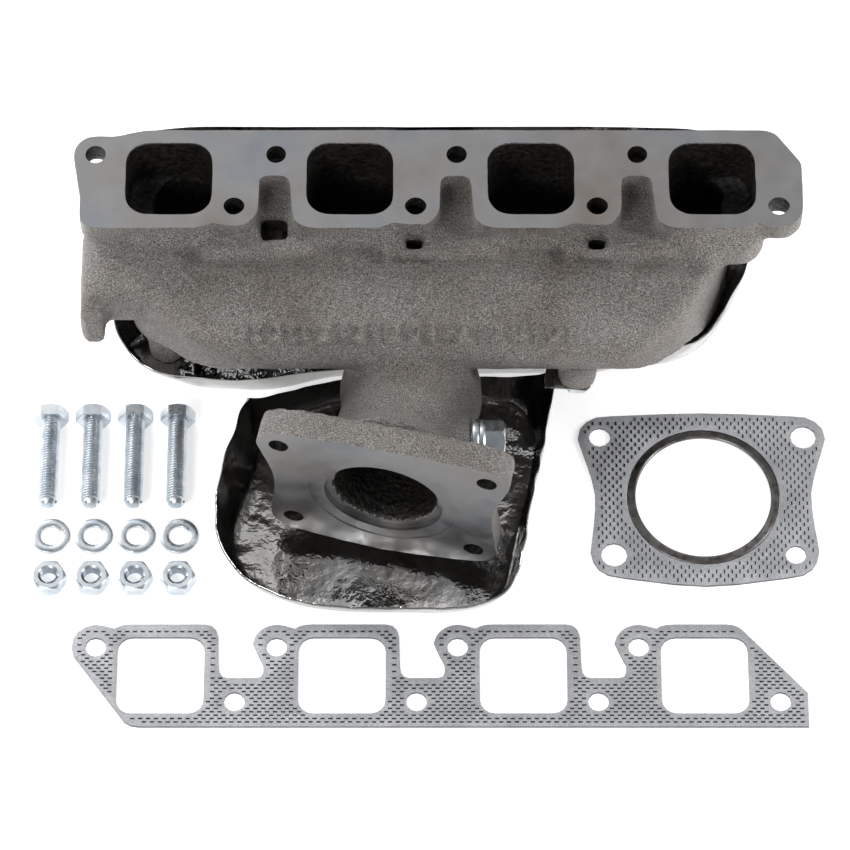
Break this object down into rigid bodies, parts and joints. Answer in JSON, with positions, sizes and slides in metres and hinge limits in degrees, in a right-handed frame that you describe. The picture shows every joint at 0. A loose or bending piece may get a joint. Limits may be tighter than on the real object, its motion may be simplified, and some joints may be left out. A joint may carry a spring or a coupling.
{
  "type": "exhaust manifold",
  "caption": "Cast-iron log exhaust manifold with head flange, pressed heat shields and a flanged outlet, shown with its loose gaskets, bolts, washers and nuts.",
  "frame": {"origin": "centre of the laid-out kit's box, on the surface that it lies on", "axes": "+X along the row of ports, +Y from the outlet towards the head flange's straight edge, +Z out of the machined head face"},
  "size_m": [0.4122, 0.2986, 0.122],
  "materials": {
    "cast_iron": "rough as-cast sand surface, faces milled",
    "shield_steel": "thin bright sheet, dark mirror-like with pressing wrinkles",
    "zinc_plate": "zinc plated, satin",
    "gasket_sheet": "grey composite on perforated steel core",
    "ring_steel": "dark satin steel fire ring"
  },
  "bodies": {
    "manifold": {"manifold_casting": "cast_iron", "heat_shield_upper": "shield_steel", "heat_shield_lower": "shield_steel", "shield_bolt_1": "zinc_plate", "shield_bolt_2": "zinc_plate", "shield_bolt_3": "zinc_plate", "shield_bolt_4": "zinc_plate", "shield_bolt_5": "zinc_plate", "neck_plug": "zinc_plate", "neck_plug_washer": "zinc_plate"},
    "loose_port_gasket": {"port_gasket": "gasket_sheet"},
    "loose_outlet_gasket": {"outlet_gasket": "gasket_sheet", "outlet_gasket_ring": "ring_steel"},
    "loose_bolt_1": {"outlet_bolt_1": "zinc_plate"},
    "loose_bolt_2": {"outlet_bolt_2": "zinc_plate"},
    "loose_bolt_3": {"outlet_bolt_3": "zinc_plate"},
    "loose_bolt_4": {"outlet_bolt_4": "zinc_plate"},
    "loose_washer_1": {"outlet_washer_1": "zinc_plate"},
    "loose_washer_2": {"outlet_washer_2": "zinc_plate"},
    "loose_washer_3": {"outlet_washer_3": "zinc_plate"},
    "loose_washer_4": {"outlet_washer_4": "zinc_plate"},
    "loose_nut_1": {"outlet_nut_1": "zinc_plate"},
    "loose_nut_2": {"outlet_nut_2": "zinc_plate"},
    "loose_nut_3": {"outlet_nut_3": "zinc_plate"},
    "loose_nut_4": {"outlet_nut_4": "zinc_plate"}
  },
  "joints": [
    {"name": "lift_port_gasket", "type": "slide", "parent": "manifold", "child": "loose_port_gasket", "axis": [0, -0.5, 0.866], "range_m": [0, 0.16]},
    {"name": "lift_outlet_gasket", "type": "slide", "parent": "manifold", "child": "loose_outlet_gasket", "axis": [0, -0.5, 0.866], "range_m": [0, 0.16]},
    {"name": "lift_bolt_1", "type": "slide", "parent": "manifold", "child": "loose_bolt_1", "axis": [0, -0.5, 0.866], "range_m": [0, 0.16]},
    {"name": "lift_bolt_2", "type": "slide", "parent": "manifold", "child": "loose_bolt_2", "axis": [0, -0.5, 0.866], "range_m": [0, 0.16]},
    {"name": "lift_bolt_3", "type": "slide", "parent": "manifold", "child": "loose_bolt_3", "axis": [0, -0.5, 0.866], "range_m": [0, 0.16]},
    {"name": "lift_bolt_4", "type": "slide", "parent": "manifold", "child": "loose_bolt_4", "axis": [0, -0.5, 0.866], "range_m": [0, 0.16]},
    {"name": "lift_washer_1", "type": "slide", "parent": "manifold", "child": "loose_washer_1", "axis": [0, -0.5, 0.866], "range_m": [0, 0.16]},
    {"name": "lift_washer_2", "type": "slide", "parent": "manifold", "child": "loose_washer_2", "axis": [0, -0.5, 0.866], "range_m": [0, 0.16]},
    {"name": "lift_washer_3", "type": "slide", "parent": "manifold", "child": "loose_washer_3", "axis": [0, -0.5, 0.866], "range_m": [0, 0.16]},
    {"name": "lift_washer_4", "type": "slide", "parent": "manifold", "child": "loose_washer_4", "axis": [0, -0.5, 0.866], "range_m": [0, 0.16]},
    {"name": "lift_nut_1", "type": "slide", "parent": "manifold", "child": "loose_nut_1", "axis": [0, -0.5, 0.866], "range_m": [0, 0.16]},
    {"name": "lift_nut_2", "type": "slide", "parent": "manifold", "child": "loose_nut_2", "axis": [0, -0.5, 0.866], "range_m": [0, 0.16]},
    {"name": "lift_nut_3", "type": "slide", "parent": "manifold", "child": "loose_nut_3", "axis": [0, -0.5, 0.866], "range_m": [0, 0.16]},
    {"name": "lift_nut_4", "type": "slide", "parent": "manifold", "child": "loose_nut_4", "axis": [0, -0.5, 0.866], "range_m": [0, 0.16]}
  ]
}
